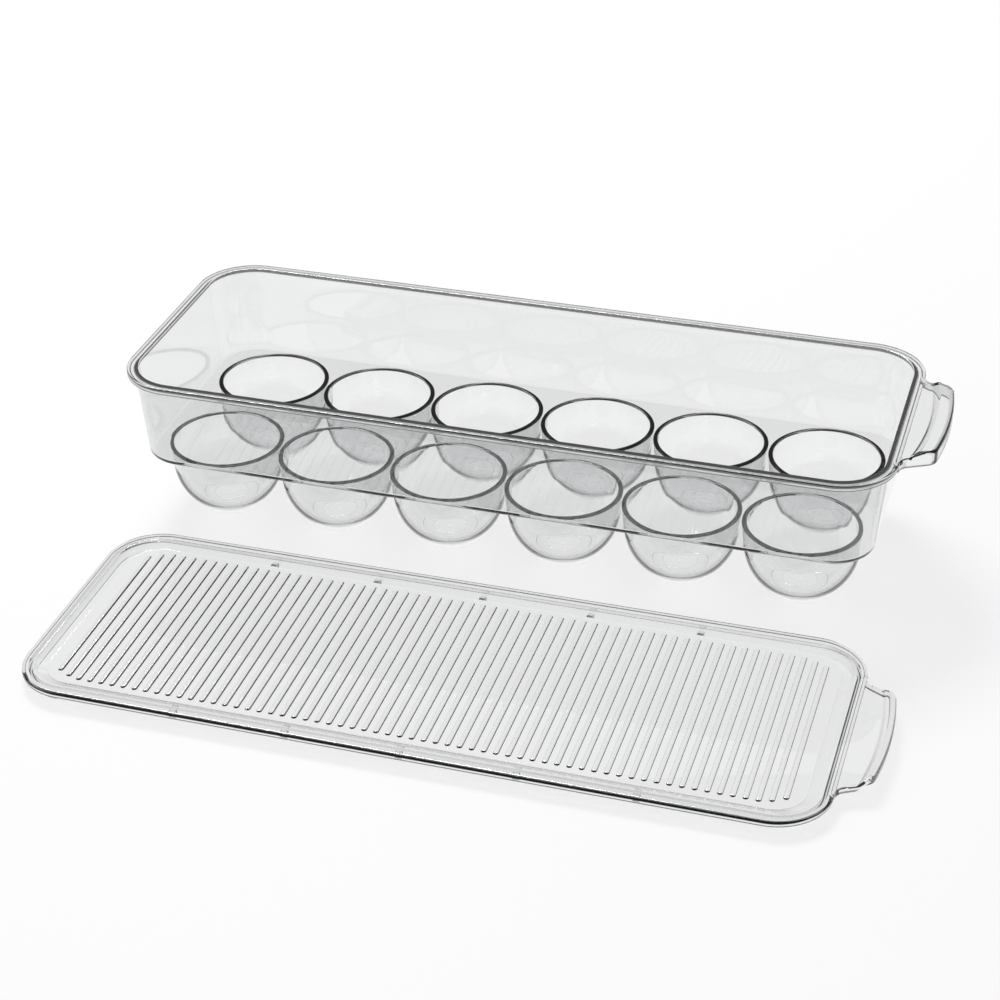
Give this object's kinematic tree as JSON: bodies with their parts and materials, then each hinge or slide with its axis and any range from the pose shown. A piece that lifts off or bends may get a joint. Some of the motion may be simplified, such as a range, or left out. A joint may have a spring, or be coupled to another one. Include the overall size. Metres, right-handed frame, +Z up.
{
  "type": "egg keeper with lift-off lid",
  "caption": "Clear rectangular egg tray with rows of round-bottomed cups, a wide rim and a pull handle at one end, beside its flat ribbed lift-off lid with a matching handle.",
  "frame": {"origin": "bottom centre of the box around tray and lid as they stand in the picture", "axes": "+X along the tray towards the handles, +Y from the lid to the tray, +Z up"},
  "size_m": [0.3398, 0.2494, 0.0712],
  "materials": {
    "clear_tray": "clear, polished",
    "clear_lid": "clear, polished"
  },
  "bodies": {
    "tray": {"tray_wall": "clear_tray", "tray_floor": "clear_tray", "egg_cup_1": "clear_tray", "egg_cup_2": "clear_tray", "egg_cup_3": "clear_tray", "egg_cup_4": "clear_tray", "egg_cup_5": "clear_tray", "egg_cup_6": "clear_tray", "egg_cup_7": "clear_tray", "egg_cup_8": "clear_tray", "egg_cup_9": "clear_tray", "egg_cup_10": "clear_tray", "egg_cup_11": "clear_tray", "egg_cup_12": "clear_tray", "tray_handle": "clear_tray"},
    "lid": {"lid_panel": "clear_lid", "lid_rim": "clear_lid", "lid_locating_wall": "clear_lid", "lid_gussets": "clear_lid", "lid_handle": "clear_lid"}
  },
  "joints": [
    {"name": "lid_lift", "type": "slide", "parent": "tray", "child": "lid", "axis": [0, 0, 1], "range_m": [0, 0.12]}
  ]
}
